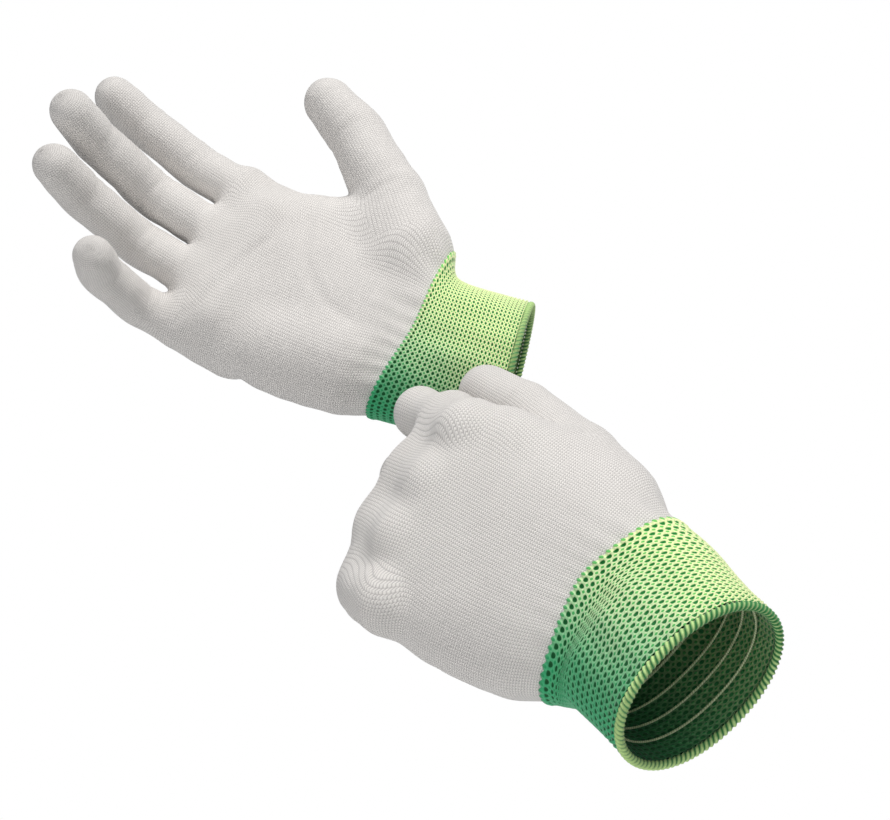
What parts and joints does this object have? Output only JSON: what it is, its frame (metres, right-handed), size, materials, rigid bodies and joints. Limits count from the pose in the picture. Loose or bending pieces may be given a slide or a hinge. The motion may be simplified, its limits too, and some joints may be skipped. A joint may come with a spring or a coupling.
{
  "type": "knitted liner gloves",
  "caption": "Pair of thin seamless knitted liner gloves in worn shape, with long elastic two-tone cuffs, overlocked hems and bending finger and thumb stalls.",
  "frame": {"origin": "centre of the right glove's cuff opening, in the plane of its hem", "axes": "+X out of the right cuff opening, -Y the way the right palm faces, +Z toward the right thumb"},
  "size_m": [0.3042, 0.1462, 0.2538],
  "materials": {
    "hand_knit": "matt fine knit",
    "cuff_knit": "matt two-tone knit, cream-yellow loops over dark green",
    "hem_yarn": "matt overlock yarn",
    "elastic_yarn": "matt covered elastic"
  },
  "bodies": {
    "right_hand": {"right_cuff_hem": "hem_yarn", "right_cuff": "cuff_knit", "right_cuff_elastic": "elastic_yarn", "right_palm": "hand_knit"},
    "right_knuckles": {"right_upper_palm": "hand_knit"},
    "right_index_base_stall": {"right_index_base": "hand_knit"},
    "right_index_mid_stall": {"right_index_mid": "hand_knit"},
    "right_index_tip_stall": {"right_index_tip": "hand_knit"},
    "right_middle_base_stall": {"right_middle_base": "hand_knit"},
    "right_middle_mid_stall": {"right_middle_mid": "hand_knit"},
    "right_middle_tip_stall": {"right_middle_tip": "hand_knit"},
    "right_ring_base_stall": {"right_ring_base": "hand_knit"},
    "right_ring_mid_stall": {"right_ring_mid": "hand_knit"},
    "right_ring_tip_stall": {"right_ring_tip": "hand_knit"},
    "right_little_base_stall": {"right_little_base": "hand_knit"},
    "right_little_mid_stall": {"right_little_mid": "hand_knit"},
    "right_little_tip_stall": {"right_little_tip": "hand_knit"},
    "right_thumb_base_stall": {"right_thumb_base": "hand_knit"},
    "right_thumb_tip_stall": {"right_thumb_tip": "hand_knit"},
    "left_hand": {"left_cuff_hem": "hem_yarn", "left_cuff": "cuff_knit", "left_cuff_elastic": "elastic_yarn", "left_palm": "hand_knit"},
    "left_knuckles": {"left_upper_palm": "hand_knit"},
    "left_index_base_stall": {"left_index_base": "hand_knit"},
    "left_index_mid_stall": {"left_index_mid": "hand_knit"},
    "left_index_tip_stall": {"left_index_tip": "hand_knit"},
    "left_middle_base_stall": {"left_middle_base": "hand_knit"},
    "left_middle_mid_stall": {"left_middle_mid": "hand_knit"},
    "left_middle_tip_stall": {"left_middle_tip": "hand_knit"},
    "left_ring_base_stall": {"left_ring_base": "hand_knit"},
    "left_ring_mid_stall": {"left_ring_mid": "hand_knit"},
    "left_ring_tip_stall": {"left_ring_tip": "hand_knit"},
    "left_little_base_stall": {"left_little_base": "hand_knit"},
    "left_little_mid_stall": {"left_little_mid": "hand_knit"},
    "left_little_tip_stall": {"left_little_tip": "hand_knit"},
    "left_thumb_base_stall": {"left_thumb_base": "hand_knit"},
    "left_thumb_tip_stall": {"left_thumb_tip": "hand_knit"}
  },
  "joints": [
    {"name": "right_fold", "type": "hinge", "parent": "right_hand", "child": "right_knuckles", "pos_m": [-0.11347, -0.0081, 0.01576], "axis": [0.1994, 0, 0.9799], "range_deg": [-2.5, 37]},
    {"name": "right_index_root", "type": "hinge", "parent": "right_knuckles", "child": "right_index_base_stall", "pos_m": [-0.13404, -0.00622, 0.05077], "axis": [0.35, 0.0082, 0.9367], "range_deg": [-8, 37]},
    {"name": "right_index_pip", "type": "hinge", "parent": "right_index_base_stall", "child": "right_index_mid_stall", "pos_m": [-0.15459, -0.00659, 0.05845], "axis": [0.35, 0.0082, 0.9367], "range_deg": [-17, 67]},
    {"name": "right_index_dip", "type": "hinge", "parent": "right_index_mid_stall", "child": "right_index_tip_stall", "pos_m": [-0.1776, -0.01503, 0.06712], "axis": [0.35, 0.0082, 0.9367], "range_deg": [-9.4, 36.9]},
    {"name": "right_middle_root", "type": "hinge", "parent": "right_knuckles", "child": "right_middle_base_stall", "pos_m": [-0.13827, -0.00622, 0.02999], "axis": [0.2839, 0.0046, 0.9588], "range_deg": [-19, 26]},
    {"name": "right_middle_pip", "type": "hinge", "parent": "right_middle_base_stall", "child": "right_middle_mid_stall", "pos_m": [-0.16452, -0.01203, 0.03779], "axis": [0.2839, 0.0046, 0.9588], "range_deg": [-36, 48]},
    {"name": "right_middle_dip", "type": "hinge", "parent": "right_middle_mid_stall", "child": "right_middle_tip_stall", "pos_m": [-0.18274, -0.03392, 0.04328], "axis": [0.2839, 0.0046, 0.9588], "range_deg": [-19.85, 26.45]},
    {"name": "right_ring_root", "type": "hinge", "parent": "right_knuckles", "child": "right_ring_base_stall", "pos_m": [-0.14235, -0.00622, 0.00994], "axis": [0.2503, 0.0027, 0.9682], "range_deg": [-20, 25]},
    {"name": "right_ring_pip", "type": "hinge", "parent": "right_ring_base_stall", "child": "right_ring_mid_stall", "pos_m": [-0.16212, -0.01093, 0.01506], "axis": [0.2503, 0.0027, 0.9682], "range_deg": [-33, 51]},
    {"name": "right_ring_dip", "type": "hinge", "parent": "right_ring_mid_stall", "child": "right_ring_tip_stall", "pos_m": [-0.1806, -0.03141, 0.0199], "axis": [0.2503, 0.0027, 0.9682], "range_deg": [-18.2, 28.1]},
    {"name": "right_little_root", "type": "hinge", "parent": "right_knuckles", "child": "right_little_base_stall", "pos_m": [-0.1386, -0.0058, -0.0117], "axis": [0.0612, -0.0073, 0.9981], "range_deg": [-25, 20]},
    {"name": "right_little_pip", "type": "hinge", "parent": "right_little_base_stall", "child": "right_little_mid_stall", "pos_m": [-0.15071, -0.00973, -0.01098], "axis": [0.0612, -0.0073, 0.9981], "range_deg": [-48, 36]},
    {"name": "right_little_dip", "type": "hinge", "parent": "right_little_mid_stall", "child": "right_little_tip_stall", "pos_m": [-0.15931, -0.02998, -0.01061], "axis": [0.0612, -0.0073, 0.9981], "range_deg": [-26.45, 19.85]},
    {"name": "right_thumb_root", "type": "hinge", "parent": "right_hand", "child": "right_thumb_base_stall", "pos_m": [-0.07322, -0.00879, 0.05694], "axis": [0.3483, -0.8982, 0.2681], "range_deg": [-28, 30]},
    {"name": "right_thumb_ip", "type": "hinge", "parent": "right_thumb_base_stall", "child": "right_thumb_tip_stall", "pos_m": [-0.09549, -0.01016, 0.08126], "axis": [0.3483, -0.8982, 0.2681], "range_deg": [-12, 30]},
    {"name": "left_fold", "type": "hinge", "parent": "left_hand", "child": "left_knuckles", "pos_m": [-0.0139, -0.06733, -0.07985], "axis": [-0.2675, 0.1548, -0.9511], "range_deg": [-7, 4]},
    {"name": "left_index_root", "type": "hinge", "parent": "left_knuckles", "child": "left_index_base_stall", "pos_m": [-0.02055, -0.05046, -0.04347], "axis": [-0.3003, 0.192, -0.9343], "range_deg": [-7, 4]},
    {"name": "left_index_pip", "type": "hinge", "parent": "left_index_base_stall", "child": "left_index_mid_stall", "pos_m": [-0.0324, -0.03349, -0.03618], "axis": [-0.3003, 0.192, -0.9343], "range_deg": [-7, 8]},
    {"name": "left_index_dip", "type": "hinge", "parent": "left_index_mid_stall", "child": "left_index_tip_stall", "pos_m": [-0.01981, -0.01076, -0.03555], "axis": [-0.3003, 0.192, -0.9343], "range_deg": [-3.9, 4.45]},
    {"name": "left_middle_root", "type": "hinge", "parent": "left_knuckles", "child": "left_middle_base_stall", "pos_m": [-0.02622, -0.04718, -0.06364], "axis": [-0.2785, 0.1673, -0.9458], "range_deg": [-38, 6]},
    {"name": "left_middle_pip", "type": "hinge", "parent": "left_middle_base_stall", "child": "left_middle_mid_stall", "pos_m": [-0.03225, -0.02061, -0.05717], "axis": [-0.2785, 0.1673, -0.9458], "range_deg": [-71, 8]},
    {"name": "left_middle_dip", "type": "hinge", "parent": "left_middle_mid_stall", "child": "left_middle_tip_stall", "pos_m": [-0.00836, -0.00472, -0.06139], "axis": [-0.2785, 0.1673, -0.9458], "range_deg": [-39.1, 4.45]},
    {"name": "left_ring_root", "type": "hinge", "parent": "left_knuckles", "child": "left_ring_base_stall", "pos_m": [-0.03169, -0.04401, -0.0831], "axis": [-0.2339, 0.1172, -0.9652], "range_deg": [-48, 4]},
    {"name": "left_ring_pip", "type": "hinge", "parent": "left_ring_base_stall", "child": "left_ring_mid_stall", "pos_m": [-0.03303, -0.02328, -0.08026], "axis": [-0.2339, 0.1172, -0.9652], "range_deg": [-65, 8]},
    {"name": "left_ring_dip", "type": "hinge", "parent": "left_ring_mid_stall", "child": "left_ring_tip_stall", "pos_m": [-0.00893, -0.00964, -0.08444], "axis": [-0.2339, 0.1172, -0.9652], "range_deg": [-35.8, 4.45]},
    {"name": "left_little_root", "type": "hinge", "parent": "left_knuckles", "child": "left_little_base_stall", "pos_m": [-0.03209, -0.04656, -0.10491], "axis": [-0.1997, 0.0792, -0.9766], "range_deg": [-46, 3]},
    {"name": "left_little_pip", "type": "hinge", "parent": "left_little_base_stall", "child": "left_little_mid_stall", "pos_m": [-0.03345, -0.03395, -0.10361], "axis": [-0.1997, 0.0792, -0.9766], "range_deg": [-59, 4]},
    {"name": "left_little_dip", "type": "hinge", "parent": "left_little_mid_stall", "child": "left_little_tip_stall", "pos_m": [-0.01606, -0.02069, -0.10609], "axis": [-0.1997, 0.0792, -0.9766], "range_deg": [-32.5, 2.25]},
    {"name": "left_thumb_root", "type": "hinge", "parent": "left_hand", "child": "left_thumb_base_stall", "pos_m": [0.03804, -0.05358, -0.0453], "axis": [-0.0955, -0.864, 0.4943], "range_deg": [-34, 0]},
    {"name": "left_thumb_ip", "type": "hinge", "parent": "left_thumb_base_stall", "child": "left_thumb_tip_stall", "pos_m": [0.01279, -0.04099, -0.02819], "axis": [-0.0955, -0.864, 0.4943], "range_deg": [-7, 2]},
    {"name": "pair_apart", "type": "slide", "parent": "right_hand", "child": "left_hand", "axis": [0, 1, 0], "range_m": [-0.25, 0]}
  ],
  "couplings": [
    {"joint": "right_index_dip", "follows": "right_index_pip", "ratio": 0.55},
    {"joint": "right_middle_dip", "follows": "right_middle_pip", "ratio": 0.55},
    {"joint": "right_ring_dip", "follows": "right_ring_pip", "ratio": 0.55},
    {"joint": "right_little_dip", "follows": "right_little_pip", "ratio": 0.55},
    {"joint": "left_index_dip", "follows": "left_index_pip", "ratio": 0.55},
    {"joint": "left_middle_dip", "follows": "left_middle_pip", "ratio": 0.55},
    {"joint": "left_ring_dip", "follows": "left_ring_pip", "ratio": 0.55},
    {"joint": "left_little_dip", "follows": "left_little_pip", "ratio": 0.55}
  ]
}
